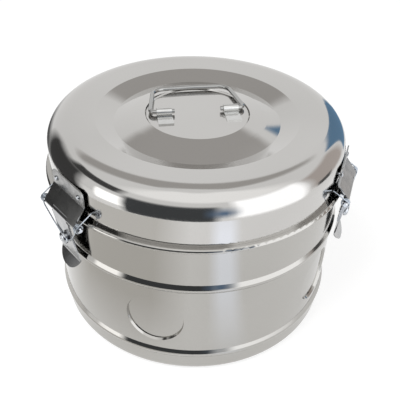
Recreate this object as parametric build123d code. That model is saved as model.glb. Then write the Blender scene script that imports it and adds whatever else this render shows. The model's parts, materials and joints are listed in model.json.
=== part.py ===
from build123d import *
import math
import os

# Sterilization drum for dressings and instruments: a seamless steel drum whose lid is held down by three
# sprung latches. Millimetres. Z is up and the origin is the middle of the foot, at the height of the
# surface that the drum stands on. X runs along the hinge of the bail handle, which lies back towards +Y.
# An azimuth is counted from the front (-Y) towards +X.

# ---- driving dimensions ----

# sheet, wire and fits
shell_sheet = 1.0            # lid and drum
plate = 1.2                  # clips, keepers, levers and hooks
running_fit = 0.08           # radial clearance of a pin in its bore
wire_fit = 0.1               # clearance round the bail and under the spring's yoke
joint_gap = 0.3              # clearance between pieces that move past each other
seat_gap = 0.05              # clearance of pieces that rest on each other

# lid
lid_radius = 135.0           # outside of the skirt
lid_depth = 42.4             # from the skirt's lower edge to the sunk ring's upper edge
disc_radius = 47.0
disc_step = 1.0
cone_fall = 6.8              # from the disc's edge to the bottom of the sunk ring
ring_inner_radius = 75.6
ring_outer_radius = 92.2
rim_slope = math.radians(6.3)
shoulder_radius = 20.0
cone_crown = 0.5             # bulge of the cone above a straight one
cone_bend = 60.0             # along the bulge
ring_bend = 1.5              # upper edge of the sunk ring

# drum
rim_height = 152.0           # shoulder that the lid sits on
wall_step = 0.5              # the wall stands this far outside the skirt
neck_gap = 0.4               # between the neck and the inside of the skirt
neck_height = 12.5
rim_bead_height = 4.4
rim_bead_crest = 4.1         # outside the wall
rim_bead_bend = 1.6
rim_bead_root_bend = 1.2     # where it meets the wall
mid_bead_drop = 46.0         # centre of the middle bead below the rim
foot_bead_height = 24.0
bead_half_height = 4.5
bead_crest = 2.2             # outside the wall
bead_bend = 3.0              # along the crest
corner_radius = 8.0
foot_width = 11.0            # from the wall to the inner edge of the standing ring
base_rise = 6.0              # underside of the base above the foot
base_slope_run = 5.0

# round recesses pressed into the wall
recess_count = 5
recess_azimuth = -24.0
recess_radius = 27.0
recess_depth = 2.0
recess_draft = 0.5           # sideways run of the ledge for each millimetre of depth
recess_form_depth = 10.0     # of the pressing form, most of it outside the wall

# bail handle and its clips
bail_wire = 4.0
bail_half_width = 43.0       # at the hinge
bail_top_half_width = 36.0
bail_reach = 43.5
bail_crown = 1.5
bail_crown_bend = 200.0
bail_hinge_bend = 4.0
bail_corner_bend = 12.0
bail_end = 21.0              # where the wire's ends stop, from the middle
clip_inner = 23.6            # near and far side of each clip, from the middle
clip_outer = 37.2
clip_foot = 18.5             # flat foot, forwards of the bail's hinge

# latches
latch_azimuths = (-59.0, 61.0, 181.0)
hinge_drop = 2.0             # hinge pin below the rim
hinge_bead_gap = 2.2         # between the rim bead and the knuckles
pin_radius = 1.4
keeper_width = 47.0
keeper_top = 27.0            # upper edge above the rim
keeper_fold = 12.5           # fold above the rim
keeper_bend = 2.0            # at the fold
keeper_corner = 5.0
lever_gap = 23.0             # between the keeper's end knuckles
lever_side_gap = 0.5         # from the lever's knuckle to the keeper's
keeper_rivet_spacing = 34.0
keeper_rivet_height = 19.5   # above the rim
keeper_rivet_shank = 1.25
keeper_rivet_head = 2.3
keeper_rivet_rise = 1.3
pin_head_inset = 0.2         # from the knuckle's outside to the pin's head
lever_drop = 46.0            # crease below the hinge pin
lever_crease_gap = 2.2       # between the lever and the middle bead
lever_crease_bend = 4.0
lever_shoulder_width = 25.6
lever_waist_width = 23.6
lever_lobe_width = 30.0
lever_waist_drop = 24.0      # below the hinge pin
tab_length = 12.5
tab_angle = math.radians(28.0)
tab_end_radius = 15.0
hook_width = 20.0
hook_start = 34.0            # lower edge, along the lever from the hinge pin
hook_bend = 9.0              # where the hook leaves the lever
hook_heel_bend = 2.0
hook_elbow_inset = 2.9       # inside the hinge pin's axis
hook_elbow_fall = 1.6        # below the lip
hook_elbow_bend = 1.0
hook_lip_reach = 1.5         # between the lip and the wall
lever_rivet_drop = 26.0      # along the lever from the hinge pin
lever_rivet_shank = 2.3
lever_rivet_neck = 3.0
lever_rivet_head = 5.5
lever_rivet_rise = 4.75
lever_rivet_edge = 0.5       # upright edge of its head
lever_rivet_hole = 1.1
lever_rivet_mouth = 0.7      # flare of the hole
lever_rivet_tail = 3.8
tail_height = 0.8            # of every rivet's inner head
head_flat = 0.6              # share of a plain head's radius that is flat
head_edge = 0.4              # share of its height that is upright

# double torsion spring
spring_wire = 1.1
spring_sides = 8             # flats round the wire
spring_coil_gap = 0.55       # between neighbouring turns
spring_turns = 2
spring_inner_face = 24.1     # first coil, from the middle of the pin
spring_arm_drop = 4.5        # where the yoke turns inwards, along the lever from the pin
spring_elbow = 15.0          # elbow of the yoke, from the lever's centre line
spring_elbow_drop = 17.0
spring_bend = 2.0
spring_leg_angle = math.radians(60.0)

# vent under the base
vent_rings = (52.0, 78.0)
vent_count = 8
vent_hole = 4.0
shutter_radius = 104.0
shutter_sheet = 1.0
centre_rivet_shank = 3.0
centre_rivet_head = 6.0
centre_rivet_rise = 1.2
washer_radius = 9.0
washer_sheet = 0.6
stop_pin_radius = 2.0
stop_circle = 96.0
stop_height = 1.6
stop_head = 0.8              # height and overhang of its head
knob_radius = 6.0
knob_height = 3.4
knob_chamfer = 1.0
knob_taper = 0.6

cut_reach = 60.0             # a cut of this length passes right through a wall or plate
bead_rounds = 20             # passes of the bead's sum below
gap_points = 1200            # points along the spring where its gap is measured
straight = 1e-6              # two directions closer than this are one line

# ---- places worked out from them ----

body_radius = lid_radius + wall_step
skirt_inside = lid_radius - shell_sheet
neck_radius = skirt_inside - neck_gap
neck_top = rim_height + neck_height
ring_height = rim_height + seat_gap + lid_depth
disc_top = ring_height - disc_step
mid_bead_height = rim_height - mid_bead_drop
recess_height = (mid_bead_height + foot_bead_height) / 2

knuckle_bore = pin_radius + running_fit
knuckle_radius = knuckle_bore + plate
hinge_radius = body_radius + rim_bead_crest + hinge_bead_gap + knuckle_radius
hinge_height = rim_height - hinge_drop
hinge = (hinge_radius, hinge_height)
roll_line = knuckle_bore + plate / 2
crease = (body_radius + bead_crest + lever_crease_gap + plate / 2, hinge_height - lever_drop)

bail_height = disc_top + bail_wire / 2 + wire_fit + plate

# corner that a bead's section would have with no bend along its crest
bead_fall = math.atan2(bead_crest, bead_half_height)
for _ in range(bead_rounds):
    bead_fall = math.atan2(bead_crest + bead_bend * (1 / math.cos(bead_fall) - 1), bead_half_height)
bead_apex = bead_half_height * math.tan(bead_fall)

spring_pitch = spring_wire + spring_coil_gap
vent_step = 360 / vent_count / 2

# a section through a latch at the front: sketch x is outwards, sketch y is up
SECTION = Plane(origin=(0, 0, 0), x_dir=(0, -1, 0), z_dir=(-1, 0, 0))
# the same latch seen from outside: sketch x is sideways, sketch y is up
FACE = Plane.XZ


# ---- helpers ----

def tangent_point(point, centre, radius, side):
    """Where the line from point touches the circle, on the side given as +1 or -1."""
    across = centre[0] - point[0]
    up = centre[1] - point[1]
    distance = math.hypot(across, up)
    angle = math.atan2(up, across) + side * math.asin(radius / distance)
    reach = math.sqrt(distance ** 2 - radius ** 2)
    return (point[0] + reach * math.cos(angle), point[1] + reach * math.sin(angle))


def bent_sheet(points, bends, thickness):
    """Section of a sheet that runs through the points, with a bend radius at each corner."""
    return trace(FilletPolyline(*points, radius=bends), line_width=thickness)


def knuckle(centre):
    """Section of the rolled end of a hinge plate."""
    return Pos(*centre) * (Circle(knuckle_radius) - Circle(knuckle_bore))


def across_latch(section, width):
    """A plate with this section, centred on the latch."""
    return extrude(SECTION * section, amount=width / 2, both=True)


def through_latch(outline):
    """A prism that cuts a plate to this outline, seen from outside."""
    return extrude(FACE * outline, amount=hinge_radius + tab_length + plate)


def stud(origin, direction, points):
    """A turned piece on an axis, from half its section as radius and height."""
    place = Plane(origin=origin, z_dir=direction)
    return place * revolve(Plane.XZ * make_face(Polyline(*points, close=True)), Axis.Z)


def keep(name, shape):
    """Write one piece, or one group of like pieces, to its own file."""
    export_step(shape, f"parts/{name}.step")
    print(name, round(shape.volume, 2))


# ---- lid ----

def rivet_places():
    """Middle of each keeper rivet at the front latch, as sideways place and height."""
    half = keeper_rivet_spacing / 2
    return [(side * half, rim_height + keeper_rivet_height) for side in (-1, 1)]


def lid_shell():
    """Deep-drawn lid: skirt, rounded shoulder, sloping rim, sunk ring, shallow cone and centre disc."""
    half = shell_sheet / 2
    skirt = lid_radius - half
    ring_edge = ring_height - half
    rim_rise = (skirt - ring_outer_radius) * math.tan(rim_slope)
    cone_middle = (disc_radius + ring_inner_radius) / 2
    points = [
        (0, ring_edge - disc_step),
        (disc_radius - disc_step / 2, ring_edge - disc_step),
        (disc_radius + disc_step / 2, ring_edge),
        (cone_middle, ring_edge - cone_fall / 2 + cone_crown),
        (ring_inner_radius, ring_edge - cone_fall),
        (ring_outer_radius, ring_edge),
        (skirt, ring_edge + rim_rise),
        (skirt, rim_height + seat_gap),
    ]
    bends = [0, 0, cone_bend, 0, ring_bend, shoulder_radius - half]
    shell = revolve(Plane.XZ * bent_sheet(points, bends, shell_sheet), Axis.Z)
    for azimuth in latch_azimuths:
        for side, height in rivet_places():
            hole = Cylinder(keeper_rivet_shank + seat_gap, cut_reach)
            place = Plane(origin=(side, -lid_radius, height), z_dir=(0, -1, 0))
            shell -= Rot(Z=azimuth) * (place * hole)
    return shell


def bail():
    """Round wire bent to a trapezoid, with its ends turned inwards through the clips."""
    route = FilletPolyline(
        (-bail_end, 0, bail_height),
        (-bail_half_width, 0, bail_height),
        (-bail_top_half_width, bail_reach, bail_height),
        (0, bail_reach + bail_crown, bail_height),
        (bail_top_half_width, bail_reach, bail_height),
        (bail_half_width, 0, bail_height),
        (bail_end, 0, bail_height),
        radius=[bail_hinge_bend, bail_corner_bend, bail_crown_bend, bail_corner_bend, bail_hinge_bend],
    )
    section = Plane(origin=route @ 0, z_dir=route % 0) * Circle(bail_wire / 2)
    return sweep(section, path=route)


def clip(side):
    """Strap with a flat foot welded to the disc and an eye rolled back round the bail."""
    half = plate / 2
    eye = bail_wire / 2 + wire_fit + half
    clear = math.asin((bail_wire / 2 + wire_fit - seat_gap) / (eye + half))
    foot = Pos(-clip_foot / 2, disc_top + half) * Rectangle(clip_foot, plate)
    roll = trace(CenterArc((0, bail_height), eye, -90, 270 + math.degrees(clear)), line_width=plate)
    width = clip_outer - clip_inner
    body = extrude(Plane.YZ * (foot + roll), amount=width / 2, both=True)
    return Pos(X=side * (clip_outer + clip_inner) / 2) * body


# ---- latches, all drawn at the front ----

def keeper():
    """Plate riveted to the skirt, flared over the rim bead and rolled into two end knuckles."""
    leaf = lid_radius + 2 * seat_gap + plate / 2
    fold = (leaf, rim_height + keeper_fold)
    touch = tangent_point(fold, hinge, roll_line, 1)
    top = rim_height + keeper_top
    section = bent_sheet([(leaf, top), fold, touch], [keeper_bend], plate) + knuckle(hinge)
    body = across_latch(section, keeper_width)
    low = hinge_height - 2 * knuckle_radius
    blank = Pos(0, (top + low) / 2) * Rectangle(keeper_width, top - low)
    blank = fillet(blank.vertices().group_by(Axis.Y)[-1], keeper_corner)
    notch_top = hinge_height + knuckle_radius + joint_gap
    notch = Pos(0, (notch_top + low) / 2) * Rectangle(lever_gap, notch_top - low)
    body = body & through_latch(blank - notch)
    for side, height in rivet_places():
        place = Plane(origin=(side, -lid_radius, height), z_dir=(0, -1, 0))
        body -= place * Cylinder(keeper_rivet_shank + seat_gap, cut_reach)
    return body


def keeper_rivet_pair():
    """The two round-headed rivets of one keeper."""
    shank = keeper_rivet_shank
    head = keeper_rivet_head
    outer = lid_radius + 2 * seat_gap + plate
    edge = keeper_rivet_spacing / 2 + head
    inner = math.sqrt(skirt_inside ** 2 - edge ** 2) - seat_gap
    rise = outer + keeper_rivet_rise
    points = [
        (0, inner - tail_height), (head, inner - tail_height), (head, inner), (shank, inner),
        (shank, outer), (head, outer), (head, outer + keeper_rivet_rise * head_edge),
        (head * head_flat, rise), (0, rise),
    ]
    return [stud((side, 0, height), (0, -1, 0), points) for side, height in rivet_places()]


def spring_reach():
    """Outer face of the spring's last coil, from the middle of the pin."""
    start, end = coil_angles()
    return spring_inner_face + spring_wire + spring_pitch * (end - start) / (2 * math.pi)


def hinge_pin():
    """Pin through the knuckles and the spring's coils, headed at both ends."""
    reach = spring_reach() + joint_gap
    head = knuckle_radius - pin_head_inset
    flat = head * head_flat
    edge = reach + plate * head_edge
    top = reach + plate
    points = [
        (0, -top), (flat, -top), (head, -edge), (head, -reach), (pin_radius, -reach),
        (pin_radius, reach), (head, reach), (head, edge), (flat, top), (0, top),
    ]
    return stud((0, -hinge_radius, hinge_height), (1, 0, 0), points)


def lever_line():
    """Unit vectors of the lever's plate in section: down along it and square to it, outwards."""
    touch = tangent_point(crease, hinge, roll_line, -1)
    length = math.dist(touch, crease)
    down = ((crease[0] - touch[0]) / length, (crease[1] - touch[1]) / length)
    return down, (-down[1], down[0])


def on_lever(along, out):
    """Section point at a distance along the lever from the pin and out from the pin's axis."""
    down, normal = lever_line()
    return (hinge[0] + along * down[0] + out * normal[0], hinge[1] + along * down[1] + out * normal[1])


def lever():
    """Waisted plate on a centre knuckle, creased below the middle bead into a thumb tab."""
    touch = tangent_point(crease, hinge, roll_line, -1)
    tip = (crease[0] + tab_length * math.sin(tab_angle), crease[1] - tab_length * math.cos(tab_angle))
    section = bent_sheet([tip, crease, touch], [lever_crease_bend], plate) + knuckle(hinge)
    body = across_latch(section, lever_lobe_width)

    shoulder = hinge_height - knuckle_radius - joint_gap
    lobe = tip[1] + tab_end_radius * math.cos(tab_angle)
    top = hinge_height + 2 * knuckle_radius
    neck_half = lever_gap / 2 - lever_side_gap
    sides = []
    for side in (-1, 1):
        sides.append(ThreePointArc(
            (side * lever_shoulder_width / 2, shoulder),
            (side * lever_waist_width / 2, hinge_height - lever_waist_drop),
            (side * lever_lobe_width / 2, lobe),
        ))
    outline = make_face(
        sides
        + [Polyline(
            (-lever_shoulder_width / 2, shoulder), (-neck_half, shoulder), (-neck_half, top),
            (neck_half, top), (neck_half, shoulder), (lever_shoulder_width / 2, shoulder))]
        + [EllipticalCenterArc(
            (0, lobe), lever_lobe_width / 2, tab_end_radius * math.cos(tab_angle), 180, arc_size=180)]
    )
    body = body & through_latch(outline)
    return body - lever_rivet_bore()


def lever_rivet_place():
    """Plane on the lever's outer face, square to it, at the rivet."""
    _, normal = lever_line()
    spot = on_lever(lever_rivet_drop, knuckle_radius)
    return Plane(origin=(0, -spot[0], spot[1]), x_dir=(1, 0, 0), z_dir=(0, -normal[0], normal[1]))


def lever_rivet_bore():
    """Cut for the rivet through the lever and the hook."""
    return lever_rivet_place() * Cylinder(lever_rivet_shank + seat_gap, cut_reach / 2)


def hook():
    """Plate behind the lever whose lip grips under the rim bead."""
    half = plate / 2
    out = knuckle_radius - plate - half
    lip = (body_radius + hook_lip_reach, rim_height - rim_bead_height - joint_gap - half)
    elbow = (hinge_radius - hook_elbow_inset, lip[1] - hook_elbow_fall)
    points = [on_lever(hook_start, out), on_lever(hook_bend, out), elbow, lip]
    body = across_latch(bent_sheet(points, [hook_heel_bend, hook_elbow_bend], plate), hook_width)
    return body - lever_rivet_bore()


def lever_rivet():
    """Domed tubular rivet; the spring's yoke lies round its neck."""
    stack = -2 * plate
    tail = stack - tail_height
    under = spring_wire + 2 * wire_fit
    edge = under + lever_rivet_edge
    head = lever_rivet_head
    hole = lever_rivet_hole
    mouth = hole + lever_rivet_mouth
    top = lever_rivet_rise
    profile = make_face([
        Polyline((hole, tail), (lever_rivet_tail, tail), (lever_rivet_tail, stack),
                 (lever_rivet_shank, stack), (lever_rivet_shank, 0), (lever_rivet_neck, 0),
                 (lever_rivet_neck, under), (head, under), (head, edge)),
        Bezier((head, edge), (head, top), (mouth, top)),
        Polyline((mouth, top), (hole, top - lever_rivet_mouth), (hole, tail)),
    ])
    return lever_rivet_place() * revolve(Plane.XZ * profile, Axis.Z)


# ---- torsion spring ----

def joined(start, heading, end, leaving):
    """A line where it fits, or two arcs, from one point and heading to the next."""
    span = end - start
    if span.cross(heading).length < straight and span.cross(leaving).length < straight:
        return [Line(start, end)]
    both = heading + leaving
    turn = 2 * (1 - heading.dot(leaving))
    along = span.dot(both)
    reach = (math.sqrt(along ** 2 + turn * span.dot(span)) - along) / turn
    first = start + heading * reach
    second = end - leaving * reach
    middle = (first + second) * 0.5
    return [TangentArc(start, middle, tangent=heading), TangentArc(middle, end, tangent=second - first)]


def yoke_stations():
    """Points and headings from the middle of the yoke to the first coil, as sideways, along, heading."""
    bight = lever_rivet_neck + wire_fit + spring_wire / 2
    inner = spring_inner_face + spring_wire / 2
    elbow = (spring_elbow, spring_elbow_drop)
    arm = (inner, spring_arm_drop)
    centre = (0, lever_rivet_drop)
    touch = tangent_point(elbow, centre, bight, -1)
    stations = [((0, lever_rivet_drop + bight), (1, 0))]
    route = [touch, elbow, arm, (inner, 0)]
    length = math.dist(touch, elbow)
    stations.append((touch, ((elbow[0] - touch[0]) / length, (elbow[1] - touch[1]) / length)))
    for before, corner, after in zip(route, route[1:], route[2:]):
        enter = (Vector(*corner) - Vector(*before)).normalized()
        leave = (Vector(*after) - Vector(*corner)).normalized()
        cut = spring_bend * math.tan(math.acos(enter.dot(leave)) / 2)
        stations.append((tuple(Vector(*corner) - enter * cut)[:2], (enter.X, enter.Y)))
        stations.append((tuple(Vector(*corner) + leave * cut)[:2], (leave.X, leave.Y)))
    stations.append(((inner, 0), (0, -1)))
    return stations


def coil_angles():
    """First and last angle of a coil round the pin, from straight outwards."""
    _, normal = lever_line()
    return math.atan2(normal[1], normal[0]), 2 * math.pi * spring_turns + spring_leg_angle


def half_spring():
    """Points and headings of half the spring, from the middle of the yoke to the free end."""
    down, _ = lever_line()
    coil = knuckle_radius + wire_fit + spring_wire / 2
    stations = []
    for (sideways, along), (turn, drop) in yoke_stations():
        spot = on_lever(along, coil)
        stations.append((Vector(sideways, -spot[0], spot[1]), Vector(turn, -drop * down[0], drop * down[1])))
    start, end = coil_angles()
    steps = math.ceil((end - start) / math.pi)
    inner = spring_inner_face + spring_wire / 2
    for step in range(1, steps + 1):
        angle = start + (end - start) * step / steps
        sideways = inner + spring_pitch * (angle - start) / (2 * math.pi)
        spot = Vector(sideways, -hinge_radius - coil * math.cos(angle), hinge_height + coil * math.sin(angle))
        drift = 0 if step == steps else spring_pitch / (2 * math.pi)
        heading = Vector(drift, coil * math.sin(angle), coil * math.cos(angle)).normalized()
        stations.append((spot, heading))
    spot, heading = stations[-1]
    skirt = math.sqrt(lid_radius ** 2 - (spot.X + spring_wire) ** 2) + spring_wire / 2 + seat_gap
    stations.append((spot + heading * ((-skirt - spot.Y) / heading.Y), heading))
    return stations


def spring():
    """Double torsion spring: free end, coil, yoke under the rivet head, coil, free end, in one wire."""
    half = half_spring()
    mirrored = [(Vector(-spot.X, spot.Y, spot.Z), Vector(way.X, -way.Y, -way.Z)) for spot, way in half]
    stations = mirrored[:0:-1] + half
    edges = []
    for (start, heading), (end, leaving) in zip(stations, stations[1:]):
        edges += joined(start, heading, end, leaving)
    route = Wire(edges)
    section = Plane(origin=route @ 0, z_dir=route % 0) * RegularPolygon(spring_wire / 2, spring_sides)
    return sweep(section, path=route), route


def least_gap(route):
    """Least distance between two stretches of the spring's wire, measured on points along it."""
    points = [route @ (step / gap_points) for step in range(gap_points + 1)]
    apart = int(3 * spring_wire / (route.length / gap_points))
    nearest = min(
        (point - other).length
        for number, point in enumerate(points)
        for other in points[number + apart::2]
    )
    return nearest - spring_wire


# ---- drum ----

def bulge(height, wall):
    """Section points of a shallow bead rolled outwards in the wall."""
    return [
        (wall, height + bead_half_height),
        (wall + bead_apex, height),
        (wall, height - bead_half_height),
    ]


def band(inner, outer):
    """Upright ring of wall at the height of the recesses."""
    height = 2 * recess_radius + recess_form_depth
    return Pos(Z=recess_height) * (Cylinder(outer, height) - Cylinder(inner, height))


def recess_form(growth):
    """Round tapered form on the axis of the front recess, grown by an amount at its edge."""
    depth = recess_form_depth
    root = body_radius - depth + bead_crest
    wide = recess_radius + growth + bead_crest * recess_draft
    place = Plane(origin=(0, -root, recess_height), z_dir=(0, -1, 0))
    form = Cone(wide - depth * recess_draft, wide, depth, align=(Align.CENTER, Align.CENTER, Align.MIN))
    return place * form


def vent_holes(turn):
    """Prism of the vent holes, turned by an angle."""
    holes = Sketch() + [
        Rot(Z=turn + step * 360 / vent_count) * Pos(ring, 0) * Circle(vent_hole)
        for ring in vent_rings
        for step in range(vent_count)
    ]
    return extrude(holes, amount=cut_reach)


def drum_body():
    """Seamless drum: neck, rim bead, two beads, five recesses, standing ring and perforated base."""
    half = shell_sheet / 2
    wall = body_radius - half
    neck = neck_radius - half
    crest = body_radius + rim_bead_crest - half
    shoulder = rim_height - half
    under = rim_height - rim_bead_height + half
    base = base_rise + half
    foot = body_radius - foot_width
    points = [
        (neck, neck_top), (neck, shoulder), (crest, shoulder), (crest, under), (wall, under),
        *bulge(mid_bead_height, wall), *bulge(foot_bead_height, wall),
        (wall, half), (foot, half), (foot - base_slope_run, base), (0, base),
    ]
    bead = [0, bead_bend, 0]
    rim = [rim_bead_bend, rim_bead_bend, rim_bead_root_bend]
    bends = [0, *rim, *bead, *bead, corner_radius - half, 0, 0]
    shell = revolve(Plane.XZ * bent_sheet(points, bends, shell_sheet), Axis.Z)
    floor = body_radius - recess_depth
    backing = recess_form(shell_sheet) & band(floor - shell_sheet, wall)
    pocket = recess_form(0) & band(floor, body_radius + bead_crest)
    for number in range(recess_count):
        turned = Rot(Z=recess_azimuth + number * 360 / recess_count)
        shell = shell + turned * backing
        shell = shell - turned * pocket
    shell -= vent_holes(0)
    shell -= Cylinder(centre_rivet_shank + seat_gap, cut_reach)
    shell -= Pos(Y=stop_circle) * Cylinder(stop_pin_radius + seat_gap, cut_reach)
    return shell


# ---- vent shutter ----

def shutter():
    """Perforated disc under the base, shut at rest, with a slot for the stop pin."""
    top = base_rise - joint_gap
    disc = Pos(Z=top - shutter_sheet) * extrude(Circle(shutter_radius), amount=shutter_sheet)
    disc -= vent_holes(-vent_step)
    disc -= Cylinder(centre_rivet_shank + running_fit, cut_reach)
    slot = SlotArc(CenterArc((0, 0), stop_circle, 90 - vent_step, vent_step), 2 * (stop_pin_radius + joint_gap))
    disc -= extrude(slot, amount=cut_reach)
    disc -= Pos(Y=-stop_circle) * Cylinder(stop_pin_radius + seat_gap, cut_reach)
    return disc


def centre_rivet():
    """Rivet that the shutter turns on, through the base."""
    shank = centre_rivet_shank
    head = centre_rivet_head
    above = base_rise + shell_sheet
    below = base_rise - joint_gap - shutter_sheet - seat_gap - washer_sheet
    flat = head * head_flat
    rise = centre_rivet_rise
    edge = rise * head_edge
    points = [
        (0, below - rise), (flat, below - rise), (head, below - edge), (head, below), (shank, below),
        (shank, above), (head, above), (head, above + edge), (flat, above + rise), (0, above + rise),
    ]
    return stud((0, 0, 0), (0, 0, 1), points)


def washer():
    """Washer between the shutter and the rivet's lower head."""
    top = base_rise - joint_gap - shutter_sheet - seat_gap
    ring = Circle(washer_radius) - Circle(centre_rivet_shank + seat_gap)
    return Pos(Z=top - washer_sheet) * extrude(ring, amount=washer_sheet)


def stop_pin():
    """Pin set in the base that the shutter's slot runs along."""
    top = base_rise + shell_sheet
    low = base_rise - joint_gap - shutter_sheet - stop_height
    head = stop_pin_radius + stop_head
    points = [
        (0, low), (stop_pin_radius, low), (stop_pin_radius, top), (head, top),
        (head, top + stop_head), (0, top + stop_head),
    ]
    return stud((0, stop_circle, 0), (0, 0, 1), points)


def shutter_knob():
    """Finger knob riveted through the shutter."""
    top = base_rise - joint_gap
    face = top - shutter_sheet
    low = face - knob_height
    points = [
        (0, low), (knob_radius - knob_chamfer, low), (knob_radius, low + knob_chamfer),
        (knob_radius - knob_taper, face),
        (stop_pin_radius, face), (stop_pin_radius, top), (0, top),
    ]
    return stud((0, -stop_circle, 0), (0, 0, 1), points)


# ---- the drum, piece by piece ----

os.makedirs("parts", exist_ok=True)

keep("drum_body", drum_body())
keep("vent_shutter", shutter())
keep("shutter_rivet", centre_rivet())
keep("shutter_washer", washer())
keep("shutter_stop_pin", stop_pin())
keep("shutter_knob", shutter_knob())

keep("lid_shell", lid_shell())
keep("handle_bail", bail())
keep("handle_clip_left", clip(-1))
keep("handle_clip_right", clip(1))

spring_solid, spring_route = spring()
print("spring: least gap to itself", round(least_gap(spring_route), 3))
drawn = {
    "keeper_plate": keeper(),
    "hinge_pin": hinge_pin(),
    "torsion_spring": spring_solid,
    "latch_lever": lever(),
    "latch_hook": hook(),
    "lever_rivet": lever_rivet(),
}
for number, azimuth in enumerate(latch_azimuths, start=1):
    for name, shape in drawn.items():
        keep(f"{name}_{number}", Rot(Z=azimuth) * shape)

rivets = [Rot(Z=azimuth) * rivet for azimuth in latch_azimuths for rivet in keeper_rivet_pair()]
keep("keeper_rivets", Compound(children=rivets))
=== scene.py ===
import json
import math

import bpy
from mathutils import Matrix, Vector


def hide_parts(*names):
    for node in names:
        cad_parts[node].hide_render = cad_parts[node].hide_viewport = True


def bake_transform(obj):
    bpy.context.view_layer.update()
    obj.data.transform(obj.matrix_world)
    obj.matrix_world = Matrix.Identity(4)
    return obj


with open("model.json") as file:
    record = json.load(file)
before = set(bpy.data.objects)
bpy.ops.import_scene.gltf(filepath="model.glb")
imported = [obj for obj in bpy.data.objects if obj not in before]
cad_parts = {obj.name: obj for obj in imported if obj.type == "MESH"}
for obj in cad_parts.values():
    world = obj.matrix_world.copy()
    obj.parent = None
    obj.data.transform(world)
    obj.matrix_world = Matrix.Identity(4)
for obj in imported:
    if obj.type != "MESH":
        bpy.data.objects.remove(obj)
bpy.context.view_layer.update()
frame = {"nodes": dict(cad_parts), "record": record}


def add_object(name, data):
    """New object in the scene."""
    shape = bpy.data.objects.new(name, data)
    bpy.context.collection.objects.link(shape)
    return shape


# ---- the photograph's camera, in the drum's own frame ----

CAMERA_AIM = Vector((0, 0, 0.1944))        # middle of the sunk ring's plane
CAMERA_DISTANCE = 0.5155
CAMERA_AZIMUTH = math.radians(-10.0)       # from the front towards +X
CAMERA_HEIGHT = math.radians(28.53)
CAMERA_YAW = math.radians(0.483)           # it is aimed first, and then turned by yaw, pitch and roll
CAMERA_PITCH = math.radians(-8.884)
CAMERA_ROLL = math.radians(1.531)
CAMERA_CLIP = 0.01
SENSOR = 36.0                              # millimetres
PHOTO_WIDTH = 400                          # pixels
FOCAL_LENGTH = 563.29                      # pixels


def turn(first, second, angle):
    """Two unit vectors turned in their own plane."""
    return (
        first * math.cos(angle) + second * math.sin(angle),
        second * math.cos(angle) - first * math.sin(angle),
    )


def add_camera():
    """Camera at the photograph's viewing angle."""
    flat = math.cos(CAMERA_HEIGHT)
    away = Vector((
        flat * math.sin(CAMERA_AZIMUTH), -flat * math.cos(CAMERA_AZIMUTH), math.sin(CAMERA_HEIGHT)))
    forward = -away
    right = forward.cross(Vector((0, 0, 1))).normalized()
    up = right.cross(forward)
    forward, right = turn(forward, right, CAMERA_YAW)
    forward, up = turn(forward, up, CAMERA_PITCH)
    right, up = turn(right, up, CAMERA_ROLL)
    data = bpy.data.cameras.new("camera")
    data.lens = SENSOR * FOCAL_LENGTH / PHOTO_WIDTH
    data.sensor_width = SENSOR
    data.clip_start = CAMERA_CLIP
    camera = add_object("camera", data)
    facing = Matrix((right, up, -forward)).transposed().to_4x4()
    camera.matrix_world = Matrix.Translation(CAMERA_AIM + away * CAMERA_DISTANCE) @ facing
    bpy.context.scene.camera = camera


# ---- node helpers ----

MIX_FACTOR = 0               # sockets of the mix node when it mixes colours
MIX_FIRST = 6
MIX_SECOND = 7
MIX_RESULT = 2
WHITE = (1, 1, 1, 1)


class Nodes:
    """Short way to write the node tree of a material or of the world."""

    def __init__(self, owner):
        self.owner = owner
        owner.use_nodes = True
        self.tree = owner.node_tree
        self.tree.nodes.clear()

    def add(self, kind, **settings):
        node = self.tree.nodes.new(kind)
        for key, value in settings.items():
            setattr(node, key, value)
        return node

    def put(self, socket, value):
        """Links a socket to the input, or sets the input's own value."""
        if isinstance(value, bpy.types.NodeSocket):
            self.tree.links.new(value, socket)
        else:
            socket.default_value = value

    def fill(self, kind, *values, **settings):
        """Node with its first inputs filled in order; gives its first output."""
        node = self.add(kind, **settings)
        for socket, value in zip(node.inputs, values):
            self.put(socket, value)
        return node.outputs[0]

    def math(self, operation, *values):
        return self.fill("ShaderNodeMath", *values, operation=operation)

    def place(self):
        """Place on the object, in its own coordinates."""
        return self.add("ShaderNodeTexCoord").outputs["Object"]

    def noise(self, vector, scale, detail, roughness):
        node = self.add("ShaderNodeTexNoise")
        self.put(node.inputs["Vector"], vector)
        self.put(node.inputs["Scale"], scale)
        self.put(node.inputs["Detail"], detail)
        self.put(node.inputs["Roughness"], roughness)
        return node.outputs["Fac"]

    def span(self, value, source, target):
        """Value carried from one range to another and held at its ends."""
        return self.fill("ShaderNodeMapRange", value, *source, *target)

    def mix(self, factor, first, second):
        """Colour between two."""
        node = self.add("ShaderNodeMix", data_type="RGBA")
        self.put(node.inputs[MIX_FACTOR], factor)
        self.put(node.inputs[MIX_FIRST], first)
        self.put(node.inputs[MIX_SECOND], second)
        return node.outputs[MIX_RESULT]

    def bump(self, height, distance, strength=1.0, normal=None):
        node = self.add("ShaderNodeBump")
        self.put(node.inputs["Strength"], strength)
        self.put(node.inputs["Distance"], distance)
        self.put(node.inputs["Height"], height)
        if normal is not None:
            self.put(node.inputs["Normal"], normal)
        return node.outputs[0]

    def seen(self):
        """1 for what the camera sees, straight or by way of metal or glass, and 0 for light on surfaces."""
        path = self.add("ShaderNodeLightPath").outputs
        mirrored = self.math("MAXIMUM", path["Is Camera Ray"], path["Is Glossy Ray"])
        return self.math("MAXIMUM", mirrored, path["Is Transmission Ray"])

    def end(self, shader, kind="ShaderNodeOutputMaterial"):
        """Makes the shader the tree's result and gives the tree's owner."""
        self.put(self.add(kind).inputs["Surface"], shader)
        return self.owner


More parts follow.
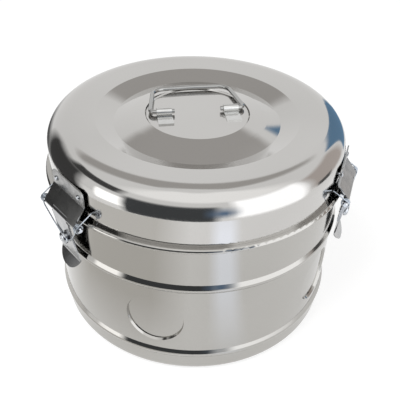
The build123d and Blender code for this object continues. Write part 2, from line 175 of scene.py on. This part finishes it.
# ---- materials ----

# stretches of a noise that a change is spread over
NOISE_CORE = (0.35, 0.65)
NOISE_MIDDLE = (0.3, 0.7)
NOISE_WIDE = (0.2, 0.8)
NOISE_PEAKS = (0.5, 0.75)
ROUGHNESS_SHARES = (0.8, 1.3)              # of a finish's roughness, at its smoothest and its dullest
SPUN_ROUGHNESS_SHARES = (0.75, 1.3)

SPUN_LINES = 2600.0          # noise across the lines that spinning leaves, for each metre
SPUN_LINE_TURNS = 1.5        # noise along them, for each radian
SPUN_LINE_HEIGHT = 0.000004
SPUN_LINE_DULLING = 0.02     # roughness that the lines add or take away
SPUN_SMEARS = 22.0
SPUN_CLOUDS = 7.0
SPUN_WAVES = 14.0            # slight unevenness of the sheet
SPUN_WAVE_HEIGHT = 0.0004
SPUN_WAVE_STRENGTH = 0.5
SPUN_STRETCH = 0.35          # anisotropy of the lines' gloss
SPUN_STRETCH_TURN = 0.25     # turned from the way round the axis, in whole turns

PLATED_GRAIN = 1500.0
PLATED_GRAIN_HEIGHT = 0.000006
PLATED_GRAIN_DULLING = 0.03
PLATED_CLOUDS = 130.0
PLATED_CLOUD_HEIGHT = 0.00006
PLATED_CLOUD_STRENGTH = 0.35

WIRE_MARKS = 1400.0
WIRE_MARK_HEIGHT = 0.000006
WIRE_CLOUDS = 60.0
WIRE_HANDLING = 0.06         # roughness that handling adds


def metal(nodes, colour, roughness, normal, tangent=None):
    """Metal at the end of the tree, with gloss stretched by spinning where a tangent is given."""
    shader = nodes.add("ShaderNodeBsdfPrincipled")
    nodes.put(shader.inputs["Base Color"], colour)
    nodes.put(shader.inputs["Metallic"], 1.0)
    nodes.put(shader.inputs["Roughness"], roughness)
    nodes.put(shader.inputs["Normal"], normal)
    if tangent is not None:
        nodes.put(shader.inputs["Anisotropic"], SPUN_STRETCH)
        nodes.put(shader.inputs["Anisotropic Rotation"], SPUN_STRETCH_TURN)
        nodes.put(shader.inputs["Tangent"], tangent)
    return nodes.end(shader.outputs[0])


def toned(nodes, noise, stretch, colour, tint):
    """Colour that drifts from one tone to the other with the noise."""
    return nodes.mix(nodes.span(noise, stretch, (0.0, 1.0)), colour, tint)


def uneven(nodes, noise, roughness, shares=ROUGHNESS_SHARES):
    """Roughness that drifts about its middle value with the noise."""
    return nodes.span(noise, NOISE_MIDDLE, [roughness * share for share in shares])


def spun_lines(nodes, place):
    """Noise stretched into fine lines that run round the Z axis."""
    split = nodes.add("ShaderNodeSeparateXYZ")
    nodes.put(split.inputs[0], place)
    x, y, z = split.outputs
    squares = nodes.math("ADD", nodes.math("MULTIPLY", x, x), nodes.math("MULTIPLY", y, y))
    radius = nodes.math("SQRT", squares)
    turned = nodes.math("ARCTAN2", y, x)
    stretched = nodes.fill(
        "ShaderNodeCombineXYZ",
        nodes.math("MULTIPLY", radius, SPUN_LINES),
        nodes.math("MULTIPLY", z, SPUN_LINES),
        nodes.math("MULTIPLY", turned, SPUN_LINE_TURNS))
    return nodes.noise(stretched, 1.0, detail=3.0, roughness=0.6)


def spun_steel(name, colour, tint, roughness):
    """Polished sheet with fine lines that run round the Z axis, faint smears and a slow change of tone."""
    nodes = Nodes(bpy.data.materials.new(name))
    place = nodes.place()
    lines = spun_lines(nodes, place)
    smear = nodes.noise(place, SPUN_SMEARS, detail=4.0, roughness=0.6)
    cloud = nodes.noise(place, SPUN_CLOUDS, detail=2.0, roughness=0.5)
    wave = nodes.noise(place, SPUN_WAVES, detail=1.0, roughness=0.4)
    tone = toned(nodes, cloud, NOISE_CORE, colour, tint)
    rough = nodes.math(
        "ADD",
        uneven(nodes, smear, roughness, SPUN_ROUGHNESS_SHARES),
        nodes.span(lines, NOISE_WIDE, (-SPUN_LINE_DULLING, SPUN_LINE_DULLING)))
    normal = nodes.bump(lines, SPUN_LINE_HEIGHT)
    normal = nodes.bump(wave, SPUN_WAVE_HEIGHT, SPUN_WAVE_STRENGTH, normal)
    tangent = nodes.add("ShaderNodeTangent", direction_type="RADIAL", axis="Z").outputs[0]
    return metal(nodes, tone, rough, normal, tangent)


def plated_steel(name, colour, tint, roughness):
    """Plated pressing: a little cloudy, with a fine grain and small dull patches."""
    nodes = Nodes(bpy.data.materials.new(name))
    place = nodes.place()
    grain = nodes.noise(place, PLATED_GRAIN, detail=3.0, roughness=0.6)
    cloud = nodes.noise(place, PLATED_CLOUDS, detail=3.0, roughness=0.55)
    tone = toned(nodes, cloud, NOISE_CORE, colour, tint)
    rough = nodes.math(
        "ADD",
        uneven(nodes, cloud, roughness),
        nodes.span(grain, NOISE_MIDDLE, (-PLATED_GRAIN_DULLING, PLATED_GRAIN_DULLING)))
    normal = nodes.bump(grain, PLATED_GRAIN_HEIGHT)
    normal = nodes.bump(cloud, PLATED_CLOUD_HEIGHT, PLATED_CLOUD_STRENGTH, normal)
    return metal(nodes, tone, rough, normal)


def drawn_wire(name, colour, tint, roughness):
    """Polished round wire with faint drawing marks and duller patches where it has been handled."""
    nodes = Nodes(bpy.data.materials.new(name))
    place = nodes.place()
    marks = nodes.noise(place, WIRE_MARKS, detail=3.0, roughness=0.6)
    cloud = nodes.noise(place, WIRE_CLOUDS, detail=2.0, roughness=0.5)
    tone = toned(nodes, cloud, NOISE_MIDDLE, colour, tint)
    rough = nodes.math(
        "ADD",
        uneven(nodes, marks, roughness),
        nodes.span(cloud, NOISE_PEAKS, (0.0, WIRE_HANDLING)))
    return metal(nodes, tone, rough, nodes.bump(marks, WIRE_MARK_HEIGHT))


def finish_nodes():
    """Gives every CAD node its finish by the record's material slot."""
    made = {
        "drum_steel": spun_steel("drum_steel", (0.43, 0.42, 0.40, 1), (0.40, 0.39, 0.37, 1), 0.10),
        # painted light: the lid's steel is the drum's spun steel with a lighter base colour, standing in for
        # the brighter surroundings that the lid mirrors
        "lid_steel": spun_steel("lid_steel", (0.54, 0.53, 0.515, 1), (0.50, 0.49, 0.475, 1), 0.08),
        "bail_wire": drawn_wire("bail_wire", (0.41, 0.41, 0.40, 1), (0.36, 0.36, 0.355, 1), 0.08),
        "clip_steel": plated_steel("clip_steel", (0.62, 0.62, 0.61, 1), (0.57, 0.57, 0.56, 1), 0.12),
        "vent_steel": spun_steel("vent_steel", (0.46, 0.46, 0.45, 1), (0.42, 0.42, 0.41, 1), 0.25),
        "rivet_steel": plated_steel("rivet_steel", (0.55, 0.57, 0.60, 1), (0.48, 0.50, 0.53, 1), 0.14),
        # painted shade: keepers and levers get a darker base colour, standing in for the dark surroundings
        # mirrored in them
        "keeper_steel": plated_steel("keeper_steel", (0.36, 0.36, 0.355, 1), (0.31, 0.31, 0.305, 1), 0.20),
        "lever_steel": plated_steel("lever_steel", (0.40, 0.40, 0.40, 1), (0.34, 0.345, 0.35, 1), 0.16),
        "hook_steel": plated_steel("hook_steel", (0.42, 0.43, 0.44, 1), (0.36, 0.37, 0.38, 1), 0.22),
        "spring_steel": drawn_wire("spring_steel", (0.50, 0.54, 0.59, 1), (0.42, 0.46, 0.51, 1), 0.16),
    }
    for part in frame["record"]["subparts"]:
        shape = frame["nodes"][part["node"]]
        shape.data.materials.clear()
        shape.data.materials.append(made[part["material_slot"]])


# ---- torsion springs, in round wire ----

# in metres and degrees; a pair is a distance from the drum's axis and a height
LATCH_AZIMUTHS = (-59.0, 61.0, 181.0)      # from the front towards +X
HINGE = (0.14448, 0.150)                   # the hinge pin's axis
CREASE = (0.1405, 0.104)                   # the lever's lower bend
PIN_RADIUS = 0.0014
PIN_FIT = 0.00008                          # round the pin, in the knuckles
PLATE = 0.0012                             # keeper and lever
SKIRT_RADIUS = 0.135
SKIRT_GAP = 0.00005                        # between the free legs and the skirt

WIRE = 0.0011
WIRE_FIT = 0.0001                          # between the wire and what it goes round
WIRE_BEND = 0.002
TURN_GAP = 0.00055                         # between neighbouring turns of a coil
TURNS = 2
INNER_FACE = 0.0241                        # of the first turn, from the middle of the pin
LEG_ANGLE = math.radians(60.0)
ARM_DROP = 0.0045                          # where the yoke turns inwards, along the lever from the pin
ELBOW = (0.015, 0.017)                     # sideways, and along the lever from the pin
RIVET_DROP = 0.026                         # along the lever from the pin
RIVET_NECK = 0.003

ROLL_LINE = PIN_RADIUS + PIN_FIT + PLATE / 2                        # middle of the rolled plate
COIL_RADIUS = PIN_RADIUS + PIN_FIT + PLATE + WIRE_FIT + WIRE / 2    # middle of the wire
PITCH = WIRE + TURN_GAP
INNER_COIL = INNER_FACE + WIRE / 2
YOKE_BIGHT = RIVET_NECK + WIRE_FIT + WIRE / 2                       # middle of the wire round the rivet

WIRE_SIDES = 14
BIGHT_STEPS = 12
BEND_STEPS = 8
COIL_STEPS = 64
WIRE_TIP = ((0.4, 1.0), (0.12, 0.85), (0.0, 0.45))    # rings: back from the tip, and radius, in wire radii


def tangent_point(point, centre, radius, side):
    """Where the line from point touches the circle, on the side given as +1 or -1."""
    across, up = centre[0] - point[0], centre[1] - point[1]
    angle = math.atan2(up, across) + side * math.asin(radius / math.hypot(across, up))
    reach = math.sqrt(across ** 2 + up ** 2 - radius ** 2)
    return (point[0] + reach * math.cos(angle), point[1] + reach * math.sin(angle))


def arc(centre, radius, first, last, steps):
    """Points of a flat arc between two angles."""
    angles = [first + (last - first) * step / steps for step in range(steps + 1)]
    return [(centre[0] + radius * math.cos(a), centre[1] + radius * math.sin(a)) for a in angles]


def rounded(before, corner, after):
    """Points of the wire's bend at the corner between two straight runs."""
    before, corner, after = Vector(before), Vector(corner), Vector(after)
    enter, leave = (corner - before).normalized(), (after - corner).normalized()
    cut = WIRE_BEND * math.tan(enter.angle(leave) / 2)
    first, last = corner - enter * cut, corner + leave * cut
    centre = corner + (leave - enter).normalized() * math.hypot(WIRE_BEND, cut)
    points = []
    for step in range(BEND_STEPS + 1):
        way = (first - centre).slerp(last - centre, step / BEND_STEPS)
        points.append(tuple(centre + way.normalized() * WIRE_BEND))
    return points


def half_yoke():
    """Flat points from the middle of the yoke to its coil, sideways and along the lever from the pin."""
    rivet = (0.0, RIVET_DROP)
    grip = tangent_point(ELBOW, rivet, YOKE_BIGHT, -1)
    grip_angle = math.atan2(grip[1] - rivet[1], grip[0] - rivet[0])
    arm = (INNER_COIL, ARM_DROP)
    points = arc(rivet, YOKE_BIGHT, math.pi / 2, grip_angle, BIGHT_STEPS)
    points += rounded(grip, ELBOW, arm)
    points += rounded(ELBOW, arm, (INNER_COIL, 0))
    return points


def half_spring():
    """Centre line of half a spring, from the middle of its yoke to its free end.

    It is drawn for a latch at azimuth 0 and then turned to each latch."""
    touch = tangent_point(CREASE, HINGE, ROLL_LINE, -1)
    length = math.dist(touch, CREASE)
    down = ((CREASE[0] - touch[0]) / length, (CREASE[1] - touch[1]) / length)
    normal = (-down[1], down[0])
    line = []
    for sideways, along in half_yoke():
        out = HINGE[0] + along * down[0] + COIL_RADIUS * normal[0]
        high = HINGE[1] + along * down[1] + COIL_RADIUS * normal[1]
        line.append(Vector((sideways, -out, high)))
    first = math.atan2(normal[1], normal[0])
    last = 2 * math.pi * TURNS + LEG_ANGLE
    for step in range(COIL_STEPS + 1):
        angle = first + (last - first) * step / COIL_STEPS
        line.append(Vector((
            INNER_COIL + PITCH * (angle - first) / (2 * math.pi),
            -HINGE[0] - COIL_RADIUS * math.cos(angle),
            HINGE[1] + COIL_RADIUS * math.sin(angle))))
    heading = Vector((0, math.sin(last), math.cos(last)))
    end = line[-1]
    skirt = math.sqrt(SKIRT_RADIUS ** 2 - (end.x + WIRE) ** 2) + WIRE / 2 + SKIRT_GAP
    line.append(end + heading * ((-skirt - end.y) / heading.y))
    return line


def wire_piece(name, line):
    """Round wire along a line, cut flat at its first point and rounded off at its last."""
    rings = []
    heading = (line[1] - line[0]).normalized()
    across = heading.orthogonal().normalized()
    for number, spot in enumerate(line):
        before, after = line[max(0, number - 1)], line[min(len(line) - 1, number + 1)]
        way = (after - before).normalized()
        across = (heading.rotation_difference(way) @ across).normalized()
        heading = way
        rings.append((spot, heading, across, WIRE / 2))
    rings.pop()
    for back, share in WIRE_TIP:
        rings.append((line[-1] - heading * (WIRE / 2) * back, heading, across, WIRE / 2 * share))
    corners, faces = [], []
    for spot, heading, across, radius in rings:
        upright = heading.cross(across)
        for side in range(WIRE_SIDES):
            angle = 2 * math.pi * side / WIRE_SIDES
            corners.append(spot + (across * math.cos(angle) + upright * math.sin(angle)) * radius)
    for ring in range(len(rings) - 1):
        for side in range(WIRE_SIDES):
            here = ring * WIRE_SIDES + side
            beside = ring * WIRE_SIDES + (side + 1) % WIRE_SIDES
            faces.append((here, beside, beside + WIRE_SIDES, here + WIRE_SIDES))
    faces.append(tuple(reversed(range(WIRE_SIDES))))
    faces.append(tuple(range(len(corners) - WIRE_SIDES, len(corners))))
    mesh = bpy.data.meshes.new(name)
    mesh.from_pydata([tuple(corner) for corner in corners], [], faces)
    mesh.polygons.foreach_set("use_smooth", [True] * len(faces))
    mesh.update()
    return add_object(name, mesh)


def add_springs():
    """Both halves of every spring, drawn in place of the CAD spring, with the free leg ending against the
    skirt.
    """
    line = half_spring()
    for number, azimuth in enumerate(LATCH_AZIMUTHS, start=1):
        finish = frame["nodes"][f"torsion_spring_{number}"].data.materials[0]
        placed = Matrix.Rotation(math.radians(azimuth), 3, "Z")
        for hand, side in (("left", -1), ("right", 1)):
            route = [placed @ Vector((side * spot.x, spot.y, spot.z)) for spot in line]
            piece = wire_piece(f"spring_{hand}_{number}", route)
            piece.data.materials.append(finish)
            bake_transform(piece)
            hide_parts(f"torsion_spring_{number}")


# ---- studio ----

CARD_CENTRE = 0.12           # height that the cards' elevations are counted from
CARD_FOOT = 0.002            # no card reaches below this
CARD_COLUMNS = 48
CARD_ROWS = 24
FLOOR_REACH = 6.0            # from the middle to each edge
FLOOR_COLOUR = (0.45, 0.45, 0.45, 1)
FLOOR_GLOW = 0.71            # seen by the camera and in reflections, on top of the lamps' light
WORLD_LIGHT = 0.5
LAMP_AIM = Vector((0, 0, 0.1))


def card_finish(name, colour, strength):
    """Plain glow that thins to nothing at the card's edges."""
    nodes = Nodes(bpy.data.materials.new(name))
    glow = nodes.fill("ShaderNodeEmission", colour, strength)
    clear = nodes.fill("ShaderNodeBsdfTransparent")
    edge = nodes.add("ShaderNodeAttribute", attribute_name="edge").outputs["Fac"]
    return nodes.end(nodes.fill("ShaderNodeMixShader", edge, clear, glow))


def card(name, azimuths, place, colour, strength, fade):
    """Curved card round the drum with soft edges, seen only in reflections.

    It spans two azimuths in degrees, from the front towards +X. place gives the distance and height of a
    point that lies a share of the way up the card. fade is the share of the card in each soft edge."""
    corners, faces, edge = [], [], []
    for row in range(CARD_ROWS + 1):
        for column in range(CARD_COLUMNS + 1):
            side, rise = column / CARD_COLUMNS, row / CARD_ROWS
            azimuth = math.radians(azimuths[0] + (azimuths[1] - azimuths[0]) * side)
            flat, height = place(rise)
            corners.append((flat * math.sin(azimuth), -flat * math.cos(azimuth), max(CARD_FOOT, height)))
            edge.append(min(1.0, min(side, 1 - side) / fade) * min(1.0, min(rise, 1 - rise) / fade))
    for row in range(CARD_ROWS):
        for column in range(CARD_COLUMNS):
            corner = row * (CARD_COLUMNS + 1) + column
            above = corner + CARD_COLUMNS + 1
            faces.append((corner, corner + 1, above + 1, above))
    mesh = bpy.data.meshes.new(name)
    mesh.from_pydata(corners, [], faces)
    mesh.attributes.new("edge", "FLOAT", "POINT").data.foreach_set("value", edge)
    mesh.materials.append(card_finish(name, colour, strength))
    shape = add_object(name, mesh)
    shape.visible_camera = False
    shape.visible_diffuse = False
    shape.visible_shadow = False


def round_card(name, azimuths, heights, distance, *finish):
    """Card on a sphere round the drum, between two elevations in degrees."""
    def place(rise):
        height = math.radians(heights[0] + (heights[1] - heights[0]) * rise)
        return distance * math.cos(height), CARD_CENTRE + distance * math.sin(height)
    card(name, azimuths, place, *finish)


def floor_card(name, azimuths, distances, *finish):
    """Card that lies just above the floor, between two distances from the drum's axis."""
    def place(rise):
        return distances[0] + (distances[1] - distances[0]) * rise, CARD_FOOT
    card(name, azimuths, place, *finish)


def add_cards():
    """What the polished steel mirrors, apart from the floor and the world.

    In front stand a dark card, a blue one and a bright window, under a pale panel. To the left are a window,
    dark cards and a beam, to the right a warm card with a dark slat and a blue one. A grey card hangs high
    behind, and two lie over the floor, in front and at the left. Each line gives the azimuths, the elevations
    and the distance, or the two distances of a floor card, and then the colour, the strength and the fade."""
    round_card("card_front_dark", (-56, 6), (-22, 30), 0.43, (0.075, 0.08, 0.085, 1), 1.0, 0.1)
    round_card("card_front_blue", (-6, 18), (-12, 27), 0.42, (0.17, 0.26, 0.40, 1), 1.0, 0.45)
    round_card("card_front_window", (10, 64), (-16, 44), 0.45, (0.97, 0.98, 1, 1), 2.0, 0.12)
    round_card("card_front_panel", (-80, 80), (40, 86), 0.8, (1, 1, 1, 1), 1.35, 0.15)
    round_card("card_rear_shade", (116, 244), (41, 80), 0.8, (0.53, 0.515, 0.50, 1), 1.0, 0.13)
    round_card("card_left_window", (-76, -52), (-12, 20), 0.6, (1, 1, 1, 1), 2.2, 0.12)
    round_card("card_left_dark", (-130, -79), (-26, 37), 0.40, (0.07, 0.07, 0.07, 1), 1.0, 0.18)
    round_card("card_left_beam", (-112, -56), (26, 42), 0.60, (0.08, 0.08, 0.08, 1), 1.0, 0.15)
    round_card("card_left_rear", (-156, -116), (-26, 12), 0.40, (0.12, 0.12, 0.12, 1), 1.0, 0.35)
    round_card("card_right_warm", (67, 112), (-8, 38), 0.7, (0.62, 0.56, 0.53, 1), 1.0, 0.15)
    round_card("card_right_slat", (72, 90), (-8, 3), 0.6, (0.12, 0.12, 0.12, 1), 1.0, 0.2)
    round_card("card_right_blue", (112, 139), (-10, 37), 0.7, (0.16, 0.29, 0.45, 1), 1.0, 0.06)
    floor_card("card_floor_light", (-2, 18), (0.139, 0.42), (0.95, 0.99, 1.08, 1), 1.5, 0.35)
    floor_card("card_floor_warm", (-95, -12), (0.139, 0.42), (0.86, 0.845, 0.81, 1), 0.95, 0.25)


def add_floor():
    """Pale floor that is nearly white to the camera and in reflections, and keeps the drum's shadow."""
    nodes = Nodes(bpy.data.materials.new("floor"))
    shader = nodes.add("ShaderNodeBsdfDiffuse")
    nodes.put(shader.inputs["Color"], FLOOR_COLOUR)
    glow = nodes.fill("ShaderNodeEmission", WHITE, nodes.math("MULTIPLY", nodes.seen(), FLOOR_GLOW))
    both = nodes.fill("ShaderNodeAddShader", shader.outputs[0], glow)
    signs = ((-1, -1), (1, -1), (1, 1), (-1, 1))
    mesh = bpy.data.meshes.new("floor")
    mesh.from_pydata([(x * FLOOR_REACH, y * FLOOR_REACH, 0) for x, y in signs], [], [(0, 1, 2, 3)])
    mesh.materials.append(nodes.end(both))
    add_object("floor", mesh)


def add_world():
    """White to the camera and in reflections, a plain grey light to everything else."""
    world = bpy.data.worlds.new("world")
    bpy.context.scene.world = world
    nodes = Nodes(world)
    light = nodes.fill("ShaderNodeBackground", WHITE, WORLD_LIGHT)
    white = nodes.fill("ShaderNodeBackground", WHITE, 1.0)
    nodes.end(nodes.fill("ShaderNodeMixShader", nodes.seen(), light, white), "ShaderNodeOutputWorld")


def add_lamp(name, place, side, power):
    """Square lamp that points at the drum and is not mirrored in it."""
    data = bpy.data.lights.new(name, "AREA")
    data.shape = "RECTANGLE"
    data.size = side
    data.size_y = side
    data.energy = power
    lamp = add_object(name, data)
    lamp.location = place
    lamp.rotation_euler = (LAMP_AIM - Vector(place)).to_track_quat("-Z", "Y").to_euler()
    lamp.visible_glossy = False


add_camera()
finish_nodes()
add_springs()
add_floor()
add_world()
add_cards()
add_lamp("key", place=(-0.9, -0.5, 1.6), side=0.9, power=14.0)
add_lamp("fill", place=(1.2, -0.9, 1.2), side=0.8, power=6.0)
bpy.context.scene.view_settings.view_transform = "Standard"
